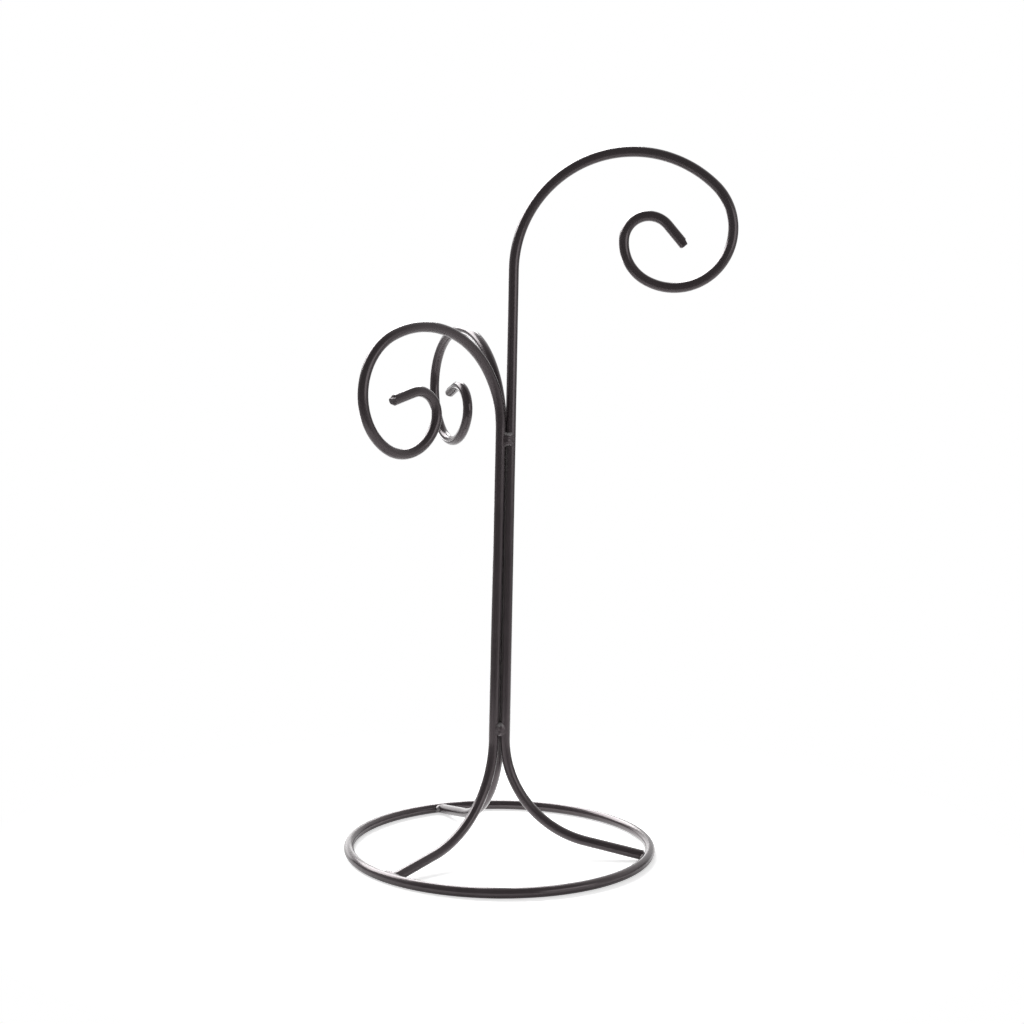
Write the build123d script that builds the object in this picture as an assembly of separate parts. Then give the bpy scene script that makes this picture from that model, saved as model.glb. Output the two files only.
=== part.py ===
from build123d import *
import math
import os

# Free-standing hook tree of bent steel wire: three wires, each a scroll hook, a stem and a splayed foot in
# one length, are welded side by side into one stem and stand on a ring of the same wire.
# Millimetres. Z points up from the table through the ring's centre, and the tall hook reaches along +X.
# Azimuths are in degrees from +X, counted towards +Y.

# Wire stock: 3/16 inch steel with its powder coat
WIRE = 4.9

# Base ring: 6 inches over the outside, its two ends butted behind the stem
RING_OUTSIDE = 152.4
RING_JOINT_AZIMUTH = 98.0
RING_JOINT_GAP = 1.0

# Stem: three straight wires about a middle line, half a millimetre apart, twisted a little and leaning towards
# the tall hook. At each set of welds: the height, how far the middle lies along X, how far the wires' axes lie
# from the middle, and the azimuth of the tall wire
UPPER_STEM = {"height": 202.5, "middle": 0.6, "offset": 3.03, "azimuth": -8.0}
LOWER_STEM = {"height": 61.0, "middle": -0.5, "offset": 3.15, "azimuth": -28.0}

# Feet: one bend out of the stem, then a straight run that slopes down to the ring's inner side
FOOT_BEND = 49.5
FOOT_SLOPE = 10.1
FOOT_END_HEIGHT = 2.5
FOOT_END_GAP = 0.15

# Scroll hooks: radii of the formers that they are bent on, from the stem inwards
TALL_FORMERS = (56.7, 28.0, 20.4, 11.8)
SHORT_FORMERS = (48.9, 28.6, 20.4, 11.3)

# Each rod: azimuths of its hook and its foot, its place about the stem in degrees from the tall wire, where its
# straight stem ends, its hook's formers with the turn round each in degrees, and the tail inside the scroll
RODS = {
    "tall": {
        "hook": 1.1, "foot": -11.2, "place": 0.0, "stem_top": 282.8,
        "formers": TALL_FORMERS, "turns": (132.6, 165.9, 65.1, 135.1), "tail": 13.0,
    },
    "rear": {
        "hook": 115.2, "foot": 115.7, "place": 120.0, "stem_top": 205.1,
        "formers": SHORT_FORMERS, "turns": (107.6, 121.8, 107.5, 134.7), "tail": 8.5,
    },
    "front": {
        "hook": 224.3, "foot": 229.3, "place": 240.0, "stem_top": 206.3,
        "formers": SHORT_FORMERS, "turns": (113.8, 126.3, 98.9, 127.3), "tail": 13.3,
    },
}

# Cropped wire ends: a long bevel on the outside of the bend, a short one on the inside, a blunt face between
CROP_OUTER_LENGTH = 2.3
CROP_OUTER_FACE = 0.6
CROP_INNER_LENGTH = 0.6
CROP_INNER_FACE = -1.5

# Stem welds: height above the table, bead length and bead radius of each set of beads
STEM_WELDS = {"upper": (UPPER_STEM["height"], 7.6, 2.8), "lower": (LOWER_STEM["height"], 6.2, 2.5)}
# Each bead lies in the valley between two rods
VALLEYS = {"front": ("tall", "front"), "left": ("front", "rear"), "back": ("rear", "tall")}
BEAD_PROUD = 0.5
BEAD_ROOT = 0.6

# Foot welds: a bead along the ring's inner side, over the end of the foot
FOOT_WELD_LENGTH = 10.0
FOOT_WELD_RADIUS = 2.7
FOOT_WELD_HEIGHT = 2.5
FOOT_WELD_CLEAR = 0.3

# Butt weld of the ring: a thin collar, dressed flat below so that the ring stands level
BUTT_WELD_LENGTH = 6.0
BUTT_WELD_RADIUS = 2.85

RING_RADIUS = (RING_OUTSIDE - WIRE) / 2
RING_INSIDE_RADIUS = RING_RADIUS - WIRE / 2


def heading(azimuth):
    """Horizontal unit vector at an azimuth."""
    angle = math.radians(azimuth)
    return Vector(math.cos(angle), math.sin(angle), 0)


def stem_point(name, height):
    """Point on a rod's straight stem axis at a height above the table."""
    place = RODS[name]["place"]
    low, high = (
        heading(stem["azimuth"] + place) * stem["offset"] + Vector(stem["middle"], 0, stem["height"])
        for stem in (LOWER_STEM, UPPER_STEM)
    )
    return low + (high - low) * ((height - low.Z) / (high.Z - low.Z))


def standing_plane(name, azimuth):
    """Plane through a rod's stem axis: its x runs outward along the azimuth and its y runs up the stem."""
    origin = stem_point(name, 0)
    up = (stem_point(name, UPPER_STEM["height"]) - origin).normalized()
    normal = heading(azimuth).cross(up).normalized()
    return Plane(origin=origin, x_dir=up.cross(normal), z_dir=normal)


def foot_reach(name):
    """Distance from a rod's stem axis, along its foot, to the foot's end just clear of the ring."""
    stem = stem_point(name, 0)
    along = stem.dot(heading(RODS[name]["foot"]))
    end_radius = RING_INSIDE_RADIUS - FOOT_END_GAP
    return math.sqrt(end_radius**2 - stem.length**2 + along**2) - along


def foot_edges(name, plane):
    """Foot from the ring up to the end of its bend, in the foot's standing plane."""
    slope = math.radians(FOOT_SLOPE)
    bend_reach = FOOT_BEND * (1 - math.sin(slope))
    reach = foot_reach(name)
    end = Vector(reach, FOOT_END_HEIGHT - reach * plane.x_dir.Z)
    run_top = Vector(bend_reach, end.Y + (reach - bend_reach) * math.tan(slope))
    run = Line(end, run_top)
    bend = JernArc(run_top, run % 1, FOOT_BEND, -(90 - FOOT_SLOPE))
    return [run, bend]


def hook_edges(name, foot_top):
    """Stem, scroll and tail, in the hook's standing plane."""
    rod = RODS[name]
    edges = [Line((0, foot_top), (0, rod["stem_top"]))]
    for radius, turn in zip(rod["formers"], rod["turns"]):
        edges.append(JernArc(edges[-1] @ 1, edges[-1] % 1, radius, -turn))
    end = edges[-1] @ 1
    edges.append(Line(end, end + (edges[-1] % 1) * rod["tail"]))
    return edges


def crop_cutters(tail_edge, plane):
    """Two wedges that bevel the wire's end, seen in the hook's standing plane."""
    tip = tail_edge @ 1
    along = tail_edge % 1
    outside = Vector(-along.Y, along.X)
    reach = WIRE

    def wedge(length, side, face):
        rim = tip + outside * (side * WIRE / 2) - along * length
        blunt = tip + outside * face
        slant = (blunt - rim).normalized()
        corners = [rim - slant * reach, blunt + slant * reach, blunt + outside * (side * 3 * reach)]
        return extrude(plane * make_face(Polyline(*corners, close=True)), amount=reach, both=True)

    return [
        wedge(CROP_OUTER_LENGTH, 1, CROP_OUTER_FACE),
        wedge(CROP_INNER_LENGTH, -1, CROP_INNER_FACE),
    ]


def bent_rod(name):
    """One wire from its foot at the ring to its cropped end inside the scroll."""
    foot_plane = standing_plane(name, RODS[name]["foot"])
    hook_plane = standing_plane(name, RODS[name]["hook"])
    foot = foot_edges(name, foot_plane)
    hook = hook_edges(name, (foot[-1] @ 1).Y)
    path = Wire([foot_plane * edge for edge in foot] + [hook_plane * edge for edge in hook])
    section = Plane(origin=path @ 0, z_dir=path % 0) * Circle(WIRE / 2)
    rod = sweep(section, path=path)
    for cutter in crop_cutters(hook[-1], hook_plane):
        rod -= cutter
    return rod


def ring_wire():
    """Base ring: one wire bent round, with a small gap between its two ends."""
    gap_angle = math.degrees(RING_JOINT_GAP / RING_RADIUS)
    start = RING_JOINT_AZIMUTH + gap_angle / 2
    path = Pos(0, 0, WIRE / 2) * CenterArc((0, 0), RING_RADIUS, start, 360 - gap_angle)
    section = Plane(origin=path @ 0, z_dir=path % 0) * Circle(WIRE / 2)
    return sweep(section, path=path)


def bead(length, radius):
    """Plain weld bead: a spheroid about Z."""
    half = EllipticalCenterArc((0, 0), radius, length / 2, start_angle=-90, arc_size=180)
    outline = make_face(half + Line(half @ 1, half @ 0))
    return revolve(Plane.XZ * outline, axis=Axis.Z)


def half_space(plane):
    """Large block on the far side of a plane from its normal."""
    size = RING_OUTSIDE
    return plane * Pos(0, 0, -size / 2) * Box(size, size, size)


def stem_bead(first, second, height, length, radius):
    """Bead in the valley between two rods, cut back to them and to the throat between them."""
    first_stem = stem_point(first, height)
    second_stem = stem_point(second, height)
    middle = (first_stem + second_stem) / 2
    outward = (first_stem - second_stem).cross(Vector(0, 0, 1)).normalized()
    crest = WIRE / 2 + BEAD_PROUD
    solid = Pos(middle + outward * (crest - radius)) * bead(length, radius)
    root = Plane(origin=middle + outward * BEAD_ROOT, z_dir=outward)
    return solid - half_space(root) - rods[first] - rods[second]


def foot_bead(name):
    """Bead along the ring's inner side, over the end of a foot and clear of the table."""
    end = stem_point(name, 0) + heading(RODS[name]["foot"]) * foot_reach(name)
    inward = -end.normalized()
    centre = inward * -RING_INSIDE_RADIUS + Vector(0, 0, FOOT_WELD_HEIGHT)
    lying = Plane(origin=centre, x_dir=inward, z_dir=inward.cross(Vector(0, 0, 1)))
    solid = lying * bead(FOOT_WELD_LENGTH, FOOT_WELD_RADIUS)
    return solid - half_space(Plane.XY.offset(FOOT_WELD_CLEAR)) - rods[name] - ring


def butt_bead():
    """Collar over the two ends of the ring's wire, flat underneath."""
    centre = heading(RING_JOINT_AZIMUTH) * RING_RADIUS + Vector(0, 0, WIRE / 2)
    across = Plane(origin=centre, x_dir=heading(RING_JOINT_AZIMUTH), z_dir=heading(RING_JOINT_AZIMUTH + 90))
    solid = across * bead(BUTT_WELD_LENGTH, BUTT_WELD_RADIUS)
    return solid - half_space(Plane.XY) - ring


ring = ring_wire()
rods = {name: bent_rod(name) for name in RODS}

nodes = {"base_ring": ring, "ring_butt_weld": butt_bead()}
for rod_name, rod_solid in rods.items():
    nodes[f"{rod_name}_hook_rod"] = rod_solid
    nodes[f"{rod_name}_foot_weld"] = foot_bead(rod_name)
for level, (weld_height, weld_length, weld_radius) in STEM_WELDS.items():
    for side, (first_rod, second_rod) in VALLEYS.items():
        nodes[f"{level}_{side}_weld"] = stem_bead(first_rod, second_rod, weld_height, weld_length, weld_radius)

os.makedirs("parts", exist_ok=True)
for node, solid in nodes.items():
    export_step(solid, f"parts/{node}.step")
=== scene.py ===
import bpy
import math
from mathutils import Matrix, Vector


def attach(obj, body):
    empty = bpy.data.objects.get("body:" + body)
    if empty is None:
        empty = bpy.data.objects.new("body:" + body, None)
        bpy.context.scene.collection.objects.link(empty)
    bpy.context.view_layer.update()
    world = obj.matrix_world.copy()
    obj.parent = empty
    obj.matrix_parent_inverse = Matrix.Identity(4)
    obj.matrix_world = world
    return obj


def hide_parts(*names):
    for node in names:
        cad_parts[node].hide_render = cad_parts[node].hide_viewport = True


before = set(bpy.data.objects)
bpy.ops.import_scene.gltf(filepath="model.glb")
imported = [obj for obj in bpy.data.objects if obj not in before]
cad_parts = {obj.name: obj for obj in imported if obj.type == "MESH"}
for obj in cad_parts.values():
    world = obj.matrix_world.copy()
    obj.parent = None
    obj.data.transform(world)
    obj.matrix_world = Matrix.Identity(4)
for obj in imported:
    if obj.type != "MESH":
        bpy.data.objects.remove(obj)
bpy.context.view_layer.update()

# Base ring
# One length of 3/16 inch mild steel wire, rolled round to 6 inches over the outside and butted behind the
# stem. It stands flat on the table, and it carries the three feet on its inner side. The whole tree was
# sprayed with black polyester powder after the welding, and the powder was baked to a satin film.

MM = 0.001
BODY = "root"
WIRE_RADIUS = 2.45 * MM
WIRE_SIDES = 48
PATH_STEP = 1.2 * MM
RING_RADIUS = 73.75 * MM
RING_JOINT_AZIMUTH = 98.0
RING_JOINT_GAP = 1.0 * MM
RING_SEED = 1.0
# Each end of a wire is a face with a rounded rim and a slight crown
WIRE_END_ROUNDING = 0.45 * MM
WIRE_END_STEPS = 5
WIRE_END_RINGS = 16
WIRE_END_CROWN = 0.05 * MM
# Drawn and bent wire is never quite round: how far it swells, and over what length
WIRE_UNEVENNESS = 0.05 * MM
WIRE_WAVE = 14.0 * MM
# Points of a skin that lie closer together than this become one
POLE_MERGE = 0.001 * MM
# How far a cutter's slant runs across the wire and how far back the crop is felt, the grain of its torn face,
# and how far back the coat is worn at a wire's end
CUT_SLANT = 0.8 * MM
CUT_REACH = 5.0 * MM
CUT_GRAIN = 0.9 * MM
WEAR_REACH = 1.2 * MM
# An end that was not cropped with cutters
BLUNT_END = {
    "outside": (0.0, 0.0, 1.0), "outer_cut": 0.0, "outer_edge": 0.0, "inner_cut": 0.0, "inner_edge": 0.0,
    "cut_roughness": 0.0,
}
# Colours of the coat where it is thick and where it is thinner, of lint baked into it, of steel at a cropped
# end, and of painted light in the crevices between the stems, which lie in deep shade
COAT_DARK = (0.0355, 0.0280, 0.0305, 1)
COAT_PALE = (0.0475, 0.0375, 0.0410, 1)
COAT_LINT = (0.070, 0.064, 0.064, 1)
COAT_STEEL = (0.060, 0.055, 0.053, 1)
# Painted light: lighter grey painted into the shaded crevices between the stems
CREVICE_PAINTED_LIGHT = (0.20, 0.19, 0.19, 1)
# Gloss of the coat, its roughness where it is satin and where it is matt, and what a cropped end adds to that
COAT_IOR = 1.6
COAT_TINT = (1.0, 0.89, 0.92, 1)
COAT_SATIN = 0.15
COAT_MATT = 0.25
CUT_MATT = 0.35
# Levels of the noise between which the coat turns pale, and between which it turns matt, and the shares of
# cloudy patches and of fine grain in its sheen
CLOUD_RANGE = (0.3, 0.7)
SHEEN_RANGE = (0.35, 0.65)
SHEEN_FROM_CLOUD = 0.7
SHEEN_FROM_GRAIN = 0.3
# Distances from a speck of lint, as shares of the spacing, at which it ends and at which it is full
LINT_EDGE = (0.035, 0.02)
LINT_STRENGTH = 0.6
# Coat on drawn wire: orange peel, grain, cloudy patches and lint, with the heights in millimetres
WIRE_COAT = {
    "Peel Size": 1.5 * MM, "Peel Height": 0.010, "Grain Size": 0.3 * MM, "Grain Height": 0.003,
    "Cloud Size": 18.0 * MM, "Lint Spacing": 9.0 * MM,
}
# Draw lines: how many there are to a metre across the wire, how they are stretched along it, and their height
# in millimetres
DRAW_LINES = 2200.0
DRAW_STRETCH = (1.0, 1.0, 0.012)
DRAW_HEIGHT = 0.004
# Flecks of steel: how many there are to a metre, and the levels of the noise between which they show
FLECKS = 2600.0
FLECK_RANGE = (0.45, 0.7)


def heading(azimuth):
    """Horizontal unit vector at an azimuth in degrees, counted from +X towards +Y."""
    angle = math.radians(azimuth)
    return Vector((math.cos(angle), math.sin(angle), 0))


def put(tree, kind, inputs=None, **settings):
    """Add a node with its settings, and fill its inputs, by name or place, with sockets or plain values."""
    node = tree.nodes.new(kind)
    for setting, value in settings.items():
        setattr(node, setting, value)
    for key, value in (inputs or {}).items():
        if isinstance(value, bpy.types.NodeSocket):
            tree.links.new(value, node.inputs[key])
        else:
            node.inputs[key].default_value = value
    return node


def number(tree, operation, *values, **settings):
    """Result of a Math node on numbers."""
    return put(tree, "ShaderNodeMath", dict(enumerate(values)), operation=operation, **settings).outputs[0]


def ranged(tree, value, low, high, new_low=0.0, new_high=1.0, kind="LINEAR"):
    """A value carried from one range into another, and held inside it."""
    inputs = {"Value": value, 1: low, 2: high, 3: new_low, 4: new_high}
    return put(tree, "ShaderNodeMapRange", inputs, interpolation_type=kind).outputs["Result"]


def arrow(tree, operation, *values):
    """Result of a Vector Math node that gives a vector."""
    return put(tree, "ShaderNodeVectorMath", dict(enumerate(values)), operation=operation).outputs["Vector"]


def scaled(tree, vector, factor):
    """A vector times a number."""
    inputs = {"Vector": vector, "Scale": factor}
    return put(tree, "ShaderNodeVectorMath", inputs, operation="SCALE").outputs["Vector"]


def dot(tree, first, second):
    """Dot product of two vectors."""
    return put(tree, "ShaderNodeVectorMath", {0: first, 1: second}, operation="DOT_PRODUCT").outputs["Value"]


def new_tree(name, kind, inputs, outputs):
    """Node tree with named sockets, and the sockets of its two end nodes."""
    tree = bpy.data.node_groups.new(name, kind)
    for side, sockets in (("INPUT", inputs), ("OUTPUT", outputs)):
        for label, socket_kind in sockets.items():
            tree.interface.new_socket(label, in_out=side, socket_type="NodeSocket" + socket_kind)
    given = tree.nodes.new("NodeGroupInput").outputs
    result = tree.nodes.new("NodeGroupOutput").inputs
    return tree, given, result


def keep(tree, geometry, **fields):
    """Capture fields on a geometry, and give back the outputs under the same names."""
    node = tree.nodes.new("GeometryNodeCaptureAttribute")
    tree.links.new(geometry, node.inputs["Geometry"])
    for label, field in fields.items():
        node.capture_items.new("VECTOR" if field.type == "VECTOR" else "FLOAT", label)
        tree.links.new(field, node.inputs[label])
    return node.outputs


def marked(tree, geometry, label, value):
    """Store a value on each point of a geometry, under a name that the coat's material reads."""
    inputs = {"Geometry": geometry, "Name": label, "Value": value}
    kind = "FLOAT_VECTOR" if value.type == "VECTOR" else "FLOAT"
    return put(tree, "GeometryNodeStoreNamedAttribute", inputs, data_type=kind, domain="POINT").outputs[0]


def skin_path(tree, given):
    """Sweep a circle along the path, and keep for each point where it sits on the path and on the circle."""
    place = put(tree, "GeometryNodeInputPosition").outputs["Position"]
    along = put(tree, "GeometryNodeSplineParameter").outputs["Length"]
    total = put(tree, "GeometryNodeSplineLength").outputs["Length"]
    tangent = put(tree, "GeometryNodeInputTangent").outputs["Tangent"]
    taper = put(tree, "GeometryNodeInputRadius").outputs["Radius"]
    path = keep(tree, given["Path"], axis=place, tangent=tangent, along=along, total=total, taper=taper)
    round_section = {"Resolution": given["Sides"], "Radius": given["Radius"]}
    circle = put(tree, "GeometryNodeCurvePrimitiveCircle", round_section).outputs["Curve"]
    section = keep(tree, circle, section=place)
    inputs = {"Curve": path["Geometry"], "Profile Curve": section["Geometry"], "Scale": path["taper"]}
    skin = put(tree, "GeometryNodeCurveToMesh", inputs).outputs["Mesh"]
    return skin, path, section["section"], arrow(tree, "SUBTRACT", place, path["axis"])


def uneven(tree, where, size, seed):
    """Smooth noise from -1 to 1 with waves of about the given size."""
    inputs = {"Vector": where, "W": seed, "Scale": number(tree, "DIVIDE", 1.0, size), "Detail": 2.0}
    noise = put(tree, "ShaderNodeTexNoise", inputs, noise_dimensions="4D")
    return number(tree, "MULTIPLY_ADD", noise.outputs[0], 2.0, -1.0)


def near_end(tree, to_end, reach):
    """1 at the end of a wire, and 0 from a reach back along it."""
    return number(tree, "SUBTRACT", 1.0, number(tree, "DIVIDE", to_end, reach), use_clamp=True)


def close_skin(tree, skin, coat, result):
    """Close the poles, shade smooth, make it a plain mesh and give it its coat."""
    merged = put(tree, "GeometryNodeMergeByDistance", {"Geometry": skin, "Distance": POLE_MERGE})
    smooth = put(tree, "GeometryNodeSetShadeSmooth", {"Geometry": merged.outputs[0]})
    plain = put(tree, "GeometryNodeRealizeInstances", {"Geometry": smooth.outputs[0]})
    coated = put(tree, "GeometryNodeSetMaterial", {"Geometry": plain.outputs[0], "Material": coat})
    tree.links.new(coated.outputs[0], result["Result"])


def bent_wire_tree():
    """Round wire along a path, a little uneven, with its far end cropped from two sides."""
    sizes = ["Radius", "Unevenness", "Wave", "Seed", "Outer Cut", "Outer Edge", "Inner Cut", "Inner Edge"]
    sizes += ["Cut Slant", "Cut Reach", "Cut Roughness", "Cut Grain", "Wear Reach"]
    inputs = {"Path": "Geometry", "Sides": "Int", "Outside": "Vector", "Coat": "Material"}
    inputs.update({size: "Float" for size in sizes})
    tree, given, result = new_tree("Bent wire", "GeometryNodeTree", inputs, {"Result": "Geometry"})
    skin, path, section, offset = skin_path(tree, given)

    # Where each point would lie on the wire before it was bent
    flat = put(tree, "ShaderNodeSeparateXYZ", {0: scaled(tree, section, path["taper"])}).outputs
    unbent = {0: flat[0], 1: flat[1], 2: path["along"]}
    straight = put(tree, "ShaderNodeCombineXYZ", unbent).outputs[0]
    waves = uneven(tree, straight, given["Wave"], given["Seed"])
    swell = number(tree, "MULTIPLY", waves, given["Unevenness"])
    bulge = scaled(tree, arrow(tree, "NORMALIZE", offset), number(tree, "MULTIPLY", swell, path["taper"]))

    # The cutters push the face back from both sides and leave it torn
    to_end = number(tree, "SUBTRACT", path["total"], path["along"])
    across = dot(tree, offset, given["Outside"])
    grain = uneven(tree, straight, given["Cut Grain"], given["Seed"])
    torn = number(tree, "MULTIPLY", grain, given["Cut Roughness"])
    depth = torn
    for side, sign in (("Outer", 1.0), ("Inner", -1.0)):
        past_axis = number(tree, "MULTIPLY_ADD", across, sign, torn)
        edge = given[f"{side} Edge"]
        full_cut = number(tree, "ADD", edge, given["Cut Slant"])
        cut = ranged(tree, past_axis, edge, full_cut, 0.0, given[f"{side} Cut"], "SMOOTHSTEP")
        depth = number(tree, "ADD", depth, cut)
    cropped = number(tree, "MULTIPLY", depth, near_end(tree, to_end, given["Cut Reach"]))
    crop = scaled(tree, path["tangent"], number(tree, "MULTIPLY", cropped, -1.0))

    shift = arrow(tree, "ADD", bulge, crop)
    shaped = put(tree, "GeometryNodeSetPosition", {"Geometry": skin, "Offset": shift}).outputs[0]
    shaped = marked(tree, shaped, "straight_wire", straight)
    shaped = marked(tree, shaped, "cropped_end", near_end(tree, to_end, given["Wear Reach"]))
    close_skin(tree, shaped, given["Coat"], result)
    return tree


def path_curve(points, tapers):
    """Curve object through points, with the share of the full radius at each."""
    curve = bpy.data.curves.new("path", "CURVE")
    curve.dimensions = "3D"
    spline = curve.splines.new("POLY")
    spline.points.add(len(points) - 1)
    for knot, point, taper in zip(spline.points, points, tapers):
        knot.co = (*point, 1)
        knot.radius = taper
    path = bpy.data.objects.new("path", curve)
    bpy.context.scene.collection.objects.link(path)
    return path


def wire_path(points):
    """Path of a wire whose two ends are blunt faces with rounded rims."""
    rounding = []
    for step in range(WIRE_END_STEPS + 1):
        angle = math.pi / 2 * step / WIRE_END_STEPS
        taper = 1 - WIRE_END_ROUNDING / WIRE_RADIUS * (1 - math.cos(angle))
        rounding.append((WIRE_END_ROUNDING * math.sin(angle), taper))
    rim = rounding[-1][1]
    for ring in range(1, WIRE_END_RINGS + 1):
        share = ring / WIRE_END_RINGS
        rounding.append((WIRE_END_ROUNDING + WIRE_END_CROWN * share, rim * (1 - share)))

    def end(tip, before):
        outward = (tip - before).normalized()
        base = tip - outward * rounding[-1][0]
        return [(base + outward * reach, taper) for reach, taper in rounding]

    body = [(point, 1.0) for point in points[1:-1]]
    whole = end(points[0], points[1])[::-1] + body + end(points[-1], points[-2])
    return path_curve([point for point, taper in whole], [taper for point, taper in whole])


def grown(tree, path, name, **sizes):
    """Run a tree on a path, and keep the result as a plain mesh object in place of the path."""
    modifier = path.modifiers.new(tree.name, "NODES")
    modifier.node_group = tree
    for socket in tree.interface.items_tree:
        label = socket.name.replace(" ", "_").lower()
        if socket.in_out == "INPUT" and label in sizes:
            modifier[socket.identifier] = sizes[label]
    graph = bpy.context.evaluated_depsgraph_get()
    mesh = bpy.data.meshes.new_from_object(path.evaluated_get(graph), depsgraph=graph)
    mesh.name = name
    path.modifiers.remove(modifier)
    bpy.data.objects.remove(path)
    piece = bpy.data.objects.new(name, mesh)
    bpy.context.scene.collection.objects.link(piece)
    return piece


def fix_on(piece, node):
    """The piece stands for its CAD node and moves with the tree."""
    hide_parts(node)
    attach(piece, BODY)


def blended(tree, share, first, second):
    """Mix of two colours."""
    node = put(tree, "ShaderNodeMix", {"Factor": share}, data_type="RGBA")
    for socket, colour in ((node.inputs[6], first), (node.inputs[7], second)):
        if isinstance(colour, bpy.types.NodeSocket):
            tree.links.new(colour, socket)
        else:
            socket.default_value = colour
    return node.outputs[2]


def powder_coat_group():
    """Colour, roughness and height of the coat; sizes are in metres and the height is in millimetres."""
    sizes = ["Peel Size", "Peel Height", "Grain Size", "Grain Height", "Cloud Size", "Lint Spacing"]
    inputs = {"Place": "Vector"}
    inputs.update({size: "Float" for size in sizes})
    outputs = {"Shade": "Color", "Roughness": "Float", "Height": "Float"}
    tree, given, result = new_tree("Powder coat", "ShaderNodeTree", inputs, outputs)

    def noise(size, detail):
        scale = number(tree, "DIVIDE", 1.0, size)
        inputs = {"Vector": given["Place"], "Scale": scale, "Detail": detail}
        return put(tree, "ShaderNodeTexNoise", inputs).outputs[0]

    peel = noise(given["Peel Size"], detail=1.0)
    grain = noise(given["Grain Size"], detail=2.0)
    cloud = noise(given["Cloud Size"], detail=3.0)
    cells = {"Vector": given["Place"], "Scale": number(tree, "DIVIDE", 1.0, given["Lint Spacing"])}
    speck = put(tree, "ShaderNodeTexVoronoi", cells).outputs["Distance"]
    lint = number(tree, "MULTIPLY", ranged(tree, speck, *LINT_EDGE), LINT_STRENGTH)

    shade = blended(tree, ranged(tree, cloud, *CLOUD_RANGE), COAT_DARK, COAT_PALE)
    shade = blended(tree, lint, shade, COAT_LINT)
    cloudy = number(tree, "MULTIPLY", cloud, SHEEN_FROM_CLOUD)
    grainy = number(tree, "MULTIPLY", grain, SHEEN_FROM_GRAIN)
    rough = ranged(tree, number(tree, "ADD", cloudy, grainy), *SHEEN_RANGE, COAT_SATIN, COAT_MATT)
    height = number(tree, "MULTIPLY", peel, given["Peel Height"])
    height = number(tree, "MULTIPLY_ADD", grain, given["Grain Height"], height)
    tree.links.new(shade, result["Shade"])
    tree.links.new(rough, result["Roughness"])
    tree.links.new(height, result["Height"])
    return tree


def coat_material(name):
    """Material with the gloss of the coat, its node tree and its shader."""
    material = bpy.data.materials.new(name)
    material.use_nodes = True
    tree = material.node_tree
    tree.nodes.clear()
    shader = put(tree, "ShaderNodeBsdfPrincipled", {"IOR": COAT_IOR, "Specular Tint": COAT_TINT})
    put(tree, "ShaderNodeOutputMaterial", {"Surface": shader.outputs[0]})
    return material, tree, shader


def raised(tree, height, shader):
    """Bump from a height in millimetres."""
    bump = put(tree, "ShaderNodeBump", {"Strength": 1.0, "Distance": MM, "Height": height})
    tree.links.new(bump.outputs["Normal"], shader.inputs["Normal"])


def coated_wire_material():
    """Coat on drawn wire: draw lines run along it, steel shows at a cropped end, painted light makes crevices
    grey.
    """
    material, tree, shader = coat_material("coated_wire")
    straight = put(tree, "ShaderNodeAttribute", attribute_name="straight_wire").outputs["Vector"]
    coat = put(tree, "ShaderNodeGroup", {"Place": straight, **WIRE_COAT}, node_tree=powder_coat).outputs
    drawn = put(tree, "ShaderNodeMapping", {"Vector": straight, "Scale": DRAW_STRETCH}).outputs[0]
    fine_lines = {"Vector": drawn, "Scale": DRAW_LINES, "Detail": 2.0}
    lines = put(tree, "ShaderNodeTexNoise", fine_lines).outputs[0]
    raised(tree, number(tree, "MULTIPLY_ADD", lines, DRAW_HEIGHT, coat["Height"]), shader)

    end = put(tree, "ShaderNodeAttribute", attribute_name="cropped_end").outputs["Fac"]
    fine_flecks = {"Vector": straight, "Scale": FLECKS, "Detail": 3.0}
    flecks = put(tree, "ShaderNodeTexNoise", fine_flecks).outputs[0]
    bare = number(tree, "MULTIPLY", end, ranged(tree, flecks, *FLECK_RANGE))
    # Painted light: the crevices between the stems, which lie in shade, are painted lighter grey
    crevice_light = put(tree, "ShaderNodeAttribute", attribute_name="stem_crevice").outputs["Fac"]
    shade = blended(tree, crevice_light, coat["Shade"], CREVICE_PAINTED_LIGHT)
    shade = blended(tree, bare, shade, COAT_STEEL)
    rough = number(tree, "MULTIPLY_ADD", end, CUT_MATT, coat["Roughness"])
    tree.links.new(shade, shader.inputs["Base Color"])
    tree.links.new(rough, shader.inputs["Roughness"])
    return material


powder_coat = powder_coat_group()
coated_wire = coated_wire_material()
bent_wire = bent_wire_tree()


def coated_wire_piece(node, points, seed, end):
    """Coated wire along points in place of a CAD node, with its far end as the cutters left it."""
    piece = grown(
        bent_wire, wire_path(points), f"{node}_coated", coat=coated_wire, seed=seed,
        radius=WIRE_RADIUS, sides=WIRE_SIDES, unevenness=WIRE_UNEVENNESS, wave=WIRE_WAVE,
        cut_slant=CUT_SLANT, cut_reach=CUT_REACH, cut_grain=CUT_GRAIN, wear_reach=WEAR_REACH, **end,
    )
    fix_on(piece, node)
    return piece


def ring_point(distance, radius, height):
    """Point beside the ring, at a distance along its axis from the joint."""
    azimuth = RING_JOINT_AZIMUTH + math.degrees(distance / RING_RADIUS)
    return heading(azimuth) * radius + Vector((0, 0, height))


ring_length = 2 * math.pi * RING_RADIUS - RING_JOINT_GAP
ring_steps = round(ring_length / PATH_STEP)
ring_line = []
for step in range(ring_steps + 1):
    distance = RING_JOINT_GAP / 2 + ring_length * step / ring_steps
    ring_line.append(ring_point(distance, RING_RADIUS, WIRE_RADIUS))
coated_wire_piece("base_ring", ring_line, RING_SEED, BLUNT_END)

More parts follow.
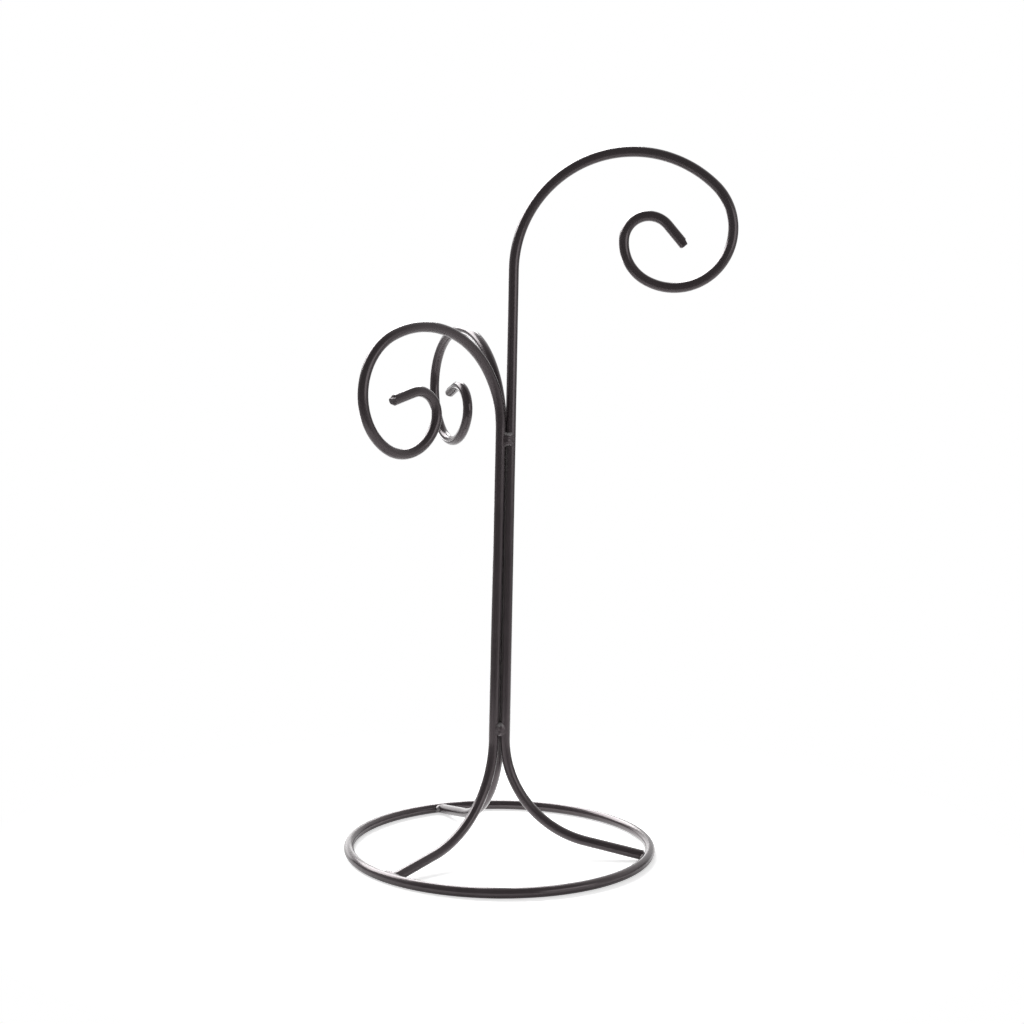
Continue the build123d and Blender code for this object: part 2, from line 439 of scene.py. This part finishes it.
# Butt weld of the ring
# A thin collar of weld metal over the two ends of the ring's wire, dressed flat underneath so that the ring
# stands level. Like every weld here it is under the same coat, and towards its ends it has a painted
# highlight, lighter grey in patches.

WELD_SIDES = 48
WELD_STEPS = 40
# Mean of a ripple's scallop, as a share of its height
SCALLOP_MEAN = 0.6
# Shares of a bead's half length between which the painted highlight comes in, and how far both ends' bands
# are shifted towards the start of the bead, which on the stem is its lower end
WELD_RIM = (0.55, 0.85)
WELD_RIM_SHIFT = 0.17
# Colour of the painted highlight at the ends of a bead, standing for glints on its rims
WELD_PAINTED_GLINT = (0.36, 0.35, 0.35, 1)
# Patches of painted highlight: how many to a metre, and the noise levels between which they show
GLINT_PATCHES = 900.0
GLINT_PATCH_RANGE = (0.32, 0.58)
# Coat on weld metal, with the heights in millimetres
WELD_COAT = {
    "Peel Size": 0.9 * MM, "Peel Height": 0.025, "Grain Size": 0.22 * MM, "Grain Height": 0.006,
    "Cloud Size": 4.0 * MM, "Lint Spacing": 6.0 * MM,
}
BUTT_WELD_LENGTH = 6.0 * MM
BUTT_WELD_FULLNESS = 2.4
BUTT_WELD_SEED = 2.0
BUTT_WELD_SHAPE = {
    "radius": 2.85 * MM, "spread": 1.0, "saddle": 0.3 * MM, "ripple_height": 0.12 * MM,
    "ripple_pitch": 1.1 * MM, "ripple_bow": 0.4 * MM, "lump_height": 0.1 * MM, "lump_size": 2.5 * MM,
    "floor": 0.02 * MM,
}


def weld_bead_tree():
    """Bead of weld metal along a path: rippled, lumpy, drawn out on what it wets, and flat on a floor."""
    sizes = ["Radius", "Spread", "Saddle", "Ripple Height", "Ripple Pitch", "Ripple Bow", "Lump Height"]
    sizes += ["Lump Size", "Seed", "Floor"]
    inputs = {"Path": "Geometry", "Sides": "Int", "Across": "Vector", "Coat": "Material"}
    inputs.update({size: "Float" for size in sizes})
    tree, given, result = new_tree("Weld bead", "GeometryNodeTree", inputs, {"Result": "Geometry"})
    skin, path, section, offset = skin_path(tree, given)

    # The metal spreads to both sides, and at the two ends it is drawn out along the wires there
    across = dot(tree, offset, given["Across"])
    widening = number(tree, "SUBTRACT", given["Spread"], 1.0)
    wide = scaled(tree, given["Across"], number(tree, "MULTIPLY", across, widening))
    along_share = number(tree, "DIVIDE", path["along"], path["total"])
    end_share = number(tree, "MULTIPLY_ADD", along_share, 2.0, -1.0)
    side_share = number(tree, "POWER", number(tree, "DIVIDE", across, given["Radius"]), 2.0)
    pull = number(tree, "MULTIPLY", number(tree, "MULTIPLY", end_share, side_share), given["Saddle"])
    drawn = scaled(tree, path["tangent"], pull)

    # Ripples follow each other like scales along the bead, and lumps lie anywhere
    bowed = number(tree, "MULTIPLY_ADD", side_share, given["Ripple Bow"], path["along"])
    phase = number(tree, "MULTIPLY", number(tree, "DIVIDE", bowed, given["Ripple Pitch"]), math.pi)
    scallop = number(tree, "ABSOLUTE", number(tree, "SINE", phase))
    ripple = number(tree, "SUBTRACT", scallop, SCALLOP_MEAN)
    ripple = number(tree, "MULTIPLY", ripple, given["Ripple Height"])
    place = put(tree, "GeometryNodeInputPosition").outputs["Position"]
    lump = uneven(tree, place, given["Lump Size"], given["Seed"])
    lump = number(tree, "MULTIPLY", lump, given["Lump Height"])
    swell = number(tree, "MULTIPLY", number(tree, "ADD", ripple, lump), path["taper"])
    bulge = scaled(tree, arrow(tree, "NORMALIZE", offset), swell)

    shift = arrow(tree, "ADD", arrow(tree, "ADD", wide, drawn), bulge)
    shaped = put(tree, "GeometryNodeSetPosition", {"Geometry": skin, "Offset": shift}).outputs[0]
    parts = put(tree, "ShaderNodeSeparateXYZ", {0: place}).outputs
    above = number(tree, "MAXIMUM", parts[2], given["Floor"])
    level = put(tree, "ShaderNodeCombineXYZ", {0: parts[0], 1: parts[1], 2: above}).outputs[0]
    dressed = put(tree, "GeometryNodeSetPosition", {"Geometry": shaped, "Position": level}).outputs[0]
    # Painted highlight: a band at each end of the bead, which the coat's material paints lighter in patches
    past_middle = number(tree, "ABSOLUTE", number(tree, "ADD", end_share, WELD_RIM_SHIFT))
    dressed = marked(tree, dressed, "bead_rim", ranged(tree, past_middle, *WELD_RIM))
    close_skin(tree, dressed, given["Coat"], result)
    return tree


def coated_weld_material():
    """Coat over weld metal: coarser than on wire, with a painted highlight in patches at the ends of a bead.
    """
    material, tree, shader = coat_material("coated_weld")
    place = put(tree, "ShaderNodeTexCoord").outputs["Object"]
    coat = put(tree, "ShaderNodeGroup", {"Place": place, **WELD_COAT}, node_tree=powder_coat).outputs
    raised(tree, coat["Height"], shader)
    rim = put(tree, "ShaderNodeAttribute", attribute_name="bead_rim").outputs["Fac"]
    patchy = {"Vector": place, "Scale": GLINT_PATCHES, "Detail": 2.0}
    patches = put(tree, "ShaderNodeTexNoise", patchy).outputs[0]
    # Painted highlight: lighter grey in patches at the bead's ends, standing for glints on their rims
    painted_light = number(tree, "MULTIPLY", rim, ranged(tree, patches, *GLINT_PATCH_RANGE))
    tree.links.new(blended(tree, painted_light, coat["Shade"], WELD_PAINTED_GLINT), shader.inputs["Base Color"])
    tree.links.new(coat["Roughness"], shader.inputs["Roughness"])
    return material


coated_weld = coated_weld_material()
weld_bead = weld_bead_tree()


def coated_weld_piece(node, place, length, fullness, across, seed, shape):
    """Coated bead in place of a CAD node; place gives its axis at a distance from its middle."""
    points = []
    tapers = []
    for step in range(-WELD_STEPS, WELD_STEPS + 1):
        share = math.sin(math.pi / 2 * step / WELD_STEPS)
        points.append(place(share * length / 2))
        tapers.append(max(0.0, 1 - abs(share) ** fullness) ** (1 / fullness))
    piece = grown(
        weld_bead, path_curve(points, tapers), f"{node}_coated", coat=coated_weld, seed=seed,
        sides=WELD_SIDES, across=tuple(across), **shape,
    )
    fix_on(piece, node)


def butt_weld_axis(distance):
    """Axis of the ring's wire at its joint."""
    return ring_point(distance, RING_RADIUS, WIRE_RADIUS)


coated_weld_piece(
    "ring_butt_weld", butt_weld_axis, BUTT_WELD_LENGTH, BUTT_WELD_FULLNESS, heading(RING_JOINT_AZIMUTH),
    BUTT_WELD_SEED, BUTT_WELD_SHAPE,
)

# Hook rods
# Three lengths of the same wire, bent cold round formers: a foot that slopes up from the ring, a straight
# stem and a scroll hook. The tall one reaches to the right, the short ones to the front left and the rear
# left. Their inner ends were cropped with cutters and left as cut under the coat.

# At each set of stem welds: the height, how far the stem's middle lies along X, how far the wires' axes lie
# from the middle, and the azimuth of the tall wire
UPPER_STEM = {"height": 202.5 * MM, "middle": 0.6 * MM, "offset": 3.03 * MM, "azimuth": -8.0}
LOWER_STEM = {"height": 61.0 * MM, "middle": -0.5 * MM, "offset": 3.15 * MM, "azimuth": -28.0}
FOOT_BEND = 49.5 * MM
FOOT_SLOPE = math.radians(10.1)
FOOT_END_HEIGHT = 2.5 * MM
FOOT_END_GAP = 0.15 * MM
# Radii in millimetres of the formers that the hooks are bent on, from the stem inwards
TALL_FORMERS = (56.7, 28.0, 20.4, 11.8)
SHORT_FORMERS = (48.9, 28.6, 20.4, 11.3)
# Azimuths of hook and foot, place about the stem in degrees from the tall wire, height in millimetres where
# the straight stem ends, formers with the turn round each in degrees, and tail in millimetres in the scroll
RODS = {
    "tall": {
        "hook": 1.1, "foot": -11.2, "place": 0.0, "stem_top": 282.8,
        "formers": TALL_FORMERS, "turns": (132.6, 165.9, 65.1, 135.1), "tail": 13.0,
    },
    "rear": {
        "hook": 115.2, "foot": 115.7, "place": 120.0, "stem_top": 205.1,
        "formers": SHORT_FORMERS, "turns": (107.6, 121.8, 107.5, 134.7), "tail": 8.5,
    },
    "front": {
        "hook": 224.3, "foot": 229.3, "place": 240.0, "stem_top": 206.3,
        "formers": SHORT_FORMERS, "turns": (113.8, 126.3, 98.9, 127.3), "tail": 13.3,
    },
}
ROD_SEED = 10.0
# Cutters' marks on each end: how far back the cut goes at the rim and where it starts from the wire's axis
END_CUTS = {
    "tall": {"outer_cut": 2.3 * MM, "outer_edge": 1.2 * MM, "inner_cut": 0.5 * MM, "inner_edge": 1.5 * MM},
    "rear": {"outer_cut": 2.0 * MM, "outer_edge": 0.4 * MM, "inner_cut": 0.6 * MM, "inner_edge": 1.4 * MM},
    "front": {"outer_cut": 1.3 * MM, "outer_edge": 0.8 * MM, "inner_cut": 0.6 * MM, "inner_edge": 1.4 * MM},
}
CUT_ROUGHNESS = 0.07 * MM
# Painted light in the narrow valleys between the stems, which lie in deep shade: distances from the stem's
# middle at which it is full and at which it ends, and the heights over which it comes in below and goes out
# above
CREVICE_DEPTH = (2.2 * MM, 3.3 * MM)
CREVICE_FOOT = (42.0 * MM, 54.0 * MM)
CREVICE_TOP = (200.0 * MM, 212.0 * MM)


def stem_point(name, height):
    """Point on a rod's straight stem axis at a height above the table."""
    ends = []
    for stem in (LOWER_STEM, UPPER_STEM):
        middle = Vector((stem["middle"], 0, stem["height"]))
        ends.append(middle + heading(stem["azimuth"] + RODS[name]["place"]) * stem["offset"])
    low, high = ends
    return low.lerp(high, (height - low.z) / (high.z - low.z))


def standing_axes(name, azimuth):
    """Outward along an azimuth and up the stem, square to each other."""
    up = (stem_point(name, UPPER_STEM["height"]) - stem_point(name, 0)).normalized()
    return up.cross(heading(azimuth).cross(up).normalized()), up


def foot_reach(name):
    """Distance from a rod's stem axis, along its foot, to the foot's end beside the ring."""
    stem = stem_point(name, 0)
    along = stem.dot(heading(RODS[name]["foot"]))
    end_radius = RING_RADIUS - WIRE_RADIUS - FOOT_END_GAP
    return math.sqrt(end_radius**2 - stem.length_squared + along**2) - along


def bent_line(start, direction, runs):
    """Points outward and up in a standing plane, along runs of a length that each turn by an angle."""
    points = [start]
    for length, turn in runs:
        steps = max(1, round(length / PATH_STEP))
        half_turn = turn / steps / 2
        chord = length / steps
        if turn:
            chord *= math.sin(half_turn) / half_turn
        for _ in range(steps):
            middle = direction - half_turn
            points.append(points[-1] + Vector((math.cos(middle), math.sin(middle))) * chord)
            direction -= 2 * half_turn
    return points


def rod_line(name):
    """Points along a rod's axis from the ring to the end in its scroll, and the outside of its last bend."""
    rod = RODS[name]
    reach = foot_reach(name)
    run = (reach - FOOT_BEND * (1 - math.sin(FOOT_SLOPE))) / math.cos(FOOT_SLOPE)
    upright = math.pi / 2
    foot_turn = upright - FOOT_SLOPE
    foot_runs = [(run, 0), (FOOT_BEND * foot_turn, foot_turn)]
    foot_outward = standing_axes(name, rod["foot"])[0]
    foot_end = Vector((reach, FOOT_END_HEIGHT - reach * foot_outward.z))
    foot = bent_line(foot_end, math.pi - FOOT_SLOPE, foot_runs)
    foot_top = foot[-1].y
    runs = [(rod["stem_top"] * MM - foot_top, 0)]
    for radius, degrees in zip(rod["formers"], rod["turns"]):
        turn = math.radians(degrees)
        runs.append((radius * MM * turn, turn))
    runs.append((rod["tail"] * MM, 0))
    scroll = bent_line(Vector((0, foot_top)), upright, runs)

    def placed(points, azimuth):
        outward, up = standing_axes(name, azimuth)
        return [stem_point(name, 0) + outward * point.x + up * point.y for point in points]

    outward, up = standing_axes(name, rod["hook"])
    tail = (scroll[-1] - scroll[-2]).normalized()
    outside = up * tail.x - outward * tail.y
    return placed(foot[:-1], rod["foot"]) + placed(scroll, rod["hook"]), outside


def ramp(value, low, high):
    """0 up to the low value, 1 from the high value."""
    return min(1.0, max(0.0, (value - low) / (high - low)))


def paint_crevice_light(piece):
    """Store painted light on the sides of a rod that face the other stems, in the valleys between them."""
    painted_light = piece.data.attributes.new("stem_crevice", "FLOAT", "POINT")
    for vertex, mark in zip(piece.data.vertices, painted_light.data):
        x, y, height = vertex.co
        share = (height - LOWER_STEM["height"]) / (UPPER_STEM["height"] - LOWER_STEM["height"])
        middle = LOWER_STEM["middle"] + (UPPER_STEM["middle"] - LOWER_STEM["middle"]) * share
        open_air = ramp(math.hypot(x - middle, y), *CREVICE_DEPTH)
        mark.value = (1 - open_air) * ramp(height, *CREVICE_FOOT) * (1 - ramp(height, *CREVICE_TOP))


for count, name in enumerate(RODS):
    rod_points, outside = rod_line(name)
    cropped_end = {**END_CUTS[name], "outside": tuple(outside), "cut_roughness": CUT_ROUGHNESS}
    rod = coated_wire_piece(f"{name}_hook_rod", rod_points, ROD_SEED + count, cropped_end)
    paint_crevice_light(rod)

# Foot welds
# A bead along the ring's inner side over the end of each foot. The metal ran out along the ring and under the
# foot, and it stays clear of the table.

# Length, radius and height of each bead, and how far its middle lies past the foot's middle along the ring
FOOT_WELDS = {
    "tall": (8.0 * MM, 1.8 * MM, 2.1 * MM, 0.0),
    "rear": (8.5 * MM, 2.2 * MM, 2.6 * MM, 0.0),
    "front": (12.0 * MM, 2.0 * MM, 2.8 * MM, -2.6 * MM),
}
FOOT_WELD_FULLNESS = 2.4
FOOT_WELD_SEED = 20.0
FOOT_WELD_SHAPE = {
    "spread": 1.0, "saddle": 0.8 * MM, "ripple_height": 0.06 * MM, "ripple_pitch": 1.5 * MM,
    "ripple_bow": 0.6 * MM, "lump_height": 0.2 * MM, "lump_size": 2.6 * MM, "floor": 0.3 * MM,
}

for count, (name, (length, radius, height, shift)) in enumerate(FOOT_WELDS.items()):
    foot_end = stem_point(name, 0) + heading(RODS[name]["foot"]) * foot_reach(name)
    end_azimuth = math.degrees(math.atan2(foot_end.y, foot_end.x))
    from_joint = math.radians(end_azimuth - RING_JOINT_AZIMUTH) * RING_RADIUS + shift

    def foot_weld_axis(distance):
        """Line on the ring's inner side past the end of the foot."""
        return ring_point(from_joint + distance, RING_RADIUS - WIRE_RADIUS, height)

    coated_weld_piece(
        f"{name}_foot_weld", foot_weld_axis, length, FOOT_WELD_FULLNESS, heading(end_azimuth),
        FOOT_WELD_SEED + count, {**FOOT_WELD_SHAPE, "radius": radius},
    )

# Stem welds
# Short beads in the valleys between the three stems, at two heights. The metal of the upper ones climbed the
# flanks of the wires up and down, so that its ends are notched. The lower ones are lumpier and pointed.

STEM_WELDS = {
    "upper": {
        "height": UPPER_STEM["height"], "length": 6.4 * MM, "fullness": 3.0,
        "shape": {
            "radius": 2.8 * MM, "saddle": 4.0 * MM, "ripple_height": 0.12 * MM, "lump_height": 0.35 * MM,
        },
    },
    "lower": {
        "height": LOWER_STEM["height"], "length": 6.8 * MM, "fullness": 2.2,
        "shape": {
            "radius": 2.5 * MM, "saddle": 0.3 * MM, "ripple_height": 0.08 * MM, "lump_height": 0.6 * MM,
        },
    },
}
STEM_WELD_SEED = 30.0
STEM_WELD_SHAPE = {
    "spread": 1.25, "ripple_pitch": 1.6 * MM, "ripple_bow": 0.0, "lump_size": 1.7 * MM, "floor": 0.0,
}
# The two wires beside each valley, how far the bead leans to the first, and how far it stands proud of them
VALLEYS = {
    "front": ("tall", "front", 0.5 * MM, 0.9 * MM),
    "left": ("front", "rear", 0.0, 0.4 * MM),
    "back": ("rear", "tall", 0.0, 0.5 * MM),
}

seed = STEM_WELD_SEED
for level, weld in STEM_WELDS.items():
    for side, (first, second, lean, proud) in VALLEYS.items():
        seed += 1.0
        first_stem = stem_point(first, weld["height"])
        second_stem = stem_point(second, weld["height"])
        across = (first_stem - second_stem).normalized()
        outward = across.cross(Vector((0, 0, 1)))
        middle = (first_stem + second_stem) / 2 + across * lean
        centre = middle + outward * (WIRE_RADIUS + proud - weld["shape"]["radius"])

        def stem_weld_axis(distance):
            """Upright line in the valley between two stems."""
            return centre + Vector((0, 0, distance))

        coated_weld_piece(
            f"{level}_{side}_weld", stem_weld_axis, weld["length"], weld["fullness"], across, seed,
            {**STEM_WELD_SHAPE, **weld["shape"]},
        )

# Floor
# A sheet of plain white paper under the tree. It takes the tree's shadow, and away from the tree it is seen
# as plain white. For reflections it has painted light: white behind the stem, and greyer further out, which
# is painted shade.

FLOOR_LEFT = -0.28
FLOOR_RIGHT = 0.5
FLOOR_FRONT = -0.3
FLOOR_BACK = 0.5
FLOOR_COLOUR = (0.9, 0.9, 0.9, 1)
WHITE = (1, 1, 1, 1)
# White that the camera sees beside the paper's own light
FLOOR_LIFT_SEEN = 0.6
# Painted light that only reflections see, beside the paper's own light: its strength in a patch behind the
# stem and outside it, where it is less and so painted shade, the middle of that patch, and the distances from
# there between which it ends
FLOOR_REFLECTED_PAINTED_LIGHT = (1.0, 0.25)
FLOOR_LIGHT_PATCH = (0.02, 0.03, 0.0)
FLOOR_LIGHT_PATCH_EDGE = (0.045, 0.080)
# Distances from the tree between which the paper fades to plain white for the camera
FLOOR_FADE = (0.10, 0.26)


def mirrored(tree):
    """1 for rays that reached a surface by a reflection or through glass, 0 for all others."""
    path = put(tree, "ShaderNodeLightPath").outputs
    return number(tree, "MAXIMUM", path["Is Glossy Ray"], path["Is Transmission Ray"])


def white_paper_material():
    """Matt white paper that keeps its shadows, lifted to white for the camera, with painted light for
    reflections.
    """
    material = bpy.data.materials.new("white_paper")
    material.use_nodes = True
    tree = material.node_tree
    tree.nodes.clear()
    place = put(tree, "ShaderNodeTexCoord").outputs["Object"]
    by_eye = put(tree, "ShaderNodeLightPath").outputs["Is Camera Ray"]

    # Painted light for reflections: a pool of light on the paper behind the stem, and painted shade outside
    # it
    from_patch = {0: place, 1: FLOOR_LIGHT_PATCH}
    patch_distance = put(tree, "ShaderNodeVectorMath", from_patch, operation="DISTANCE").outputs["Value"]
    painted_patch_light = ranged(tree, patch_distance, *FLOOR_LIGHT_PATCH_EDGE, *FLOOR_REFLECTED_PAINTED_LIGHT)
    reflected_lift = number(tree, "MULTIPLY", mirrored(tree), painted_patch_light)
    strength = number(tree, "MULTIPLY_ADD", by_eye, FLOOR_LIFT_SEEN, reflected_lift)
    matt = put(tree, "ShaderNodeBsdfDiffuse", {"Color": FLOOR_COLOUR}).outputs[0]
    lift = put(tree, "ShaderNodeEmission", {"Color": WHITE, "Strength": strength}).outputs[0]
    near = put(tree, "ShaderNodeAddShader", {0: matt, 1: lift}).outputs[0]

    distance = put(tree, "ShaderNodeVectorMath", {0: place}, operation="LENGTH").outputs["Value"]
    far = number(tree, "MULTIPLY", ranged(tree, distance, *FLOOR_FADE, kind="SMOOTHSTEP"), by_eye)
    plain = put(tree, "ShaderNodeEmission", {"Color": WHITE, "Strength": 1.0}).outputs[0]
    paper = put(tree, "ShaderNodeMixShader", {0: far, 1: near, 2: plain}).outputs[0]
    put(tree, "ShaderNodeOutputMaterial", {"Surface": paper})
    return material


corners = [
    (FLOOR_LEFT, FLOOR_FRONT, 0),
    (FLOOR_RIGHT, FLOOR_FRONT, 0),
    (FLOOR_RIGHT, FLOOR_BACK, 0),
    (FLOOR_LEFT, FLOOR_BACK, 0),
]
floor_mesh = bpy.data.meshes.new("floor")
floor_mesh.from_pydata(corners, [], [(0, 1, 2, 3)])
floor_mesh.materials.append(white_paper_material())
floor = bpy.data.objects.new("floor", floor_mesh)
bpy.context.scene.collection.objects.link(floor)

# Studio light
# Even white light from all round, a large soft lamp high behind on the left, a low wide one below it, one
# that lies on the ground there like a lit sheet, and a low fill on the right in front. The coat reflects a
# white backdrop, which is darker on the camera's side of the room and low down at the backdrop's two edges.

ROOM_LIGHT = 0.25
ROOM_DARK = (0.27, 0.27, 0.27, 1)
# Direction of the dark side, and the range of its dot product with a ray over which it gets dark
DARK_SIDE = (-0.15, -0.9, 0.45)
DARK_RANGE = (-0.6, 0.8)
# Where the backdrop's edges lie, as a ray's share along Y, how far from there they are dark and where that
# ends, and the same for the ray's share along Z
EDGE_MIDDLE = 0.42
EDGE_WIDTH = (0.22, 0.40)
EDGE_HEIGHT = (0.15, 0.40)
# Place, aim, width, height and power of each lamp
SOFT_LAMPS = {
    "back_lamp": (Vector((-0.63, 1.01, 1.07)), Vector((0.0, 0.0, 0.15)), 1.9, 0.75, 38.0),
    "low_lamp": (Vector((-0.45, 1.12, 0.20)), Vector((0.0, 0.0, 0.14)), 1.2, 0.38, 2.2),
    "floor_lamp": (Vector((-0.72, 0.95, 0.01)), Vector((-0.72, 0.95, 1.0)), 0.4, 0.6, 4.5),
    "right_lamp": (Vector((0.88, -0.70, 0.36)), Vector((0.0, 0.0, 0.17)), 0.8, 0.5, 2.1),
}

world = bpy.data.worlds.new("studio")
bpy.context.scene.world = world
world.use_nodes = True
sky = world.node_tree
sky.nodes.clear()
direction = put(sky, "ShaderNodeTexCoord").outputs["Generated"]
dark_share = ranged(sky, dot(sky, direction, DARK_SIDE), *DARK_RANGE, kind="SMOOTHSTEP")
parts = put(sky, "ShaderNodeSeparateXYZ", {0: direction}).outputs
from_edge = number(sky, "ABSOLUTE", number(sky, "SUBTRACT", parts[1], EDGE_MIDDLE))
at_edge = ranged(sky, from_edge, *EDGE_WIDTH, 1.0, 0.0)
low_down = ranged(sky, number(sky, "ABSOLUTE", parts[2]), *EDGE_HEIGHT, 1.0, 0.0)
edge_share = number(sky, "MULTIPLY", at_edge, low_down)
ray = put(sky, "ShaderNodeLightPath").outputs
shaded = number(sky, "MULTIPLY", number(sky, "MAXIMUM", dark_share, edge_share), ray["Is Glossy Ray"])
seen_colour = blended(sky, shaded, WHITE, ROOM_DARK)
backdrop = put(sky, "ShaderNodeBackground", {"Color": seen_colour, "Strength": 1.0}).outputs[0]
room = put(sky, "ShaderNodeBackground", {"Color": WHITE, "Strength": ROOM_LIGHT}).outputs[0]
looked_at = number(sky, "MAXIMUM", ray["Is Camera Ray"], mirrored(sky))
mixed = put(sky, "ShaderNodeMixShader", {0: looked_at, 1: room, 2: backdrop}).outputs[0]
put(sky, "ShaderNodeOutputWorld", {"Surface": mixed})

for lamp_name, (place, aim, width, height, power) in SOFT_LAMPS.items():
    lamp = bpy.data.lights.new(lamp_name, "AREA")
    lamp.shape = "RECTANGLE"
    lamp.size = width
    lamp.size_y = height
    lamp.energy = power
    lamp_object = bpy.data.objects.new(lamp_name, lamp)
    lamp_object.location = place
    lamp_object.rotation_euler = (aim - place).to_track_quat("-Z", "Y").to_euler()
    bpy.context.scene.collection.objects.link(lamp_object)

# Camera
# It stands in front of the tree, a little above the short hooks, and looks slightly down.

CAMERA_PLACE = Vector((-0.41, -832.20, 252.71)) * MM
CAMERA_YAW = math.radians(-0.346)
CAMERA_PITCH = math.radians(5.869)
CAMERA_ROLL = math.radians(0.555)
CAMERA_LENS = 61.0
CAMERA_SENSOR = 36.0
CAMERA_NEAREST = 0.01

camera = bpy.data.cameras.new("camera")
camera.sensor_fit = "HORIZONTAL"
camera.sensor_width = CAMERA_SENSOR
camera.lens = CAMERA_LENS
camera.clip_start = CAMERA_NEAREST
camera_object = bpy.data.objects.new("camera", camera)
tilt = Matrix.Rotation(math.pi / 2 - CAMERA_PITCH, 4, "X") @ Matrix.Rotation(CAMERA_ROLL, 4, "Z")
camera_object.matrix_world = Matrix.Translation(CAMERA_PLACE) @ Matrix.Rotation(CAMERA_YAW, 4, "Z") @ tilt
bpy.context.scene.collection.objects.link(camera_object)
bpy.context.scene.camera = camera_object
bpy.context.scene.view_settings.view_transform = "Standard"
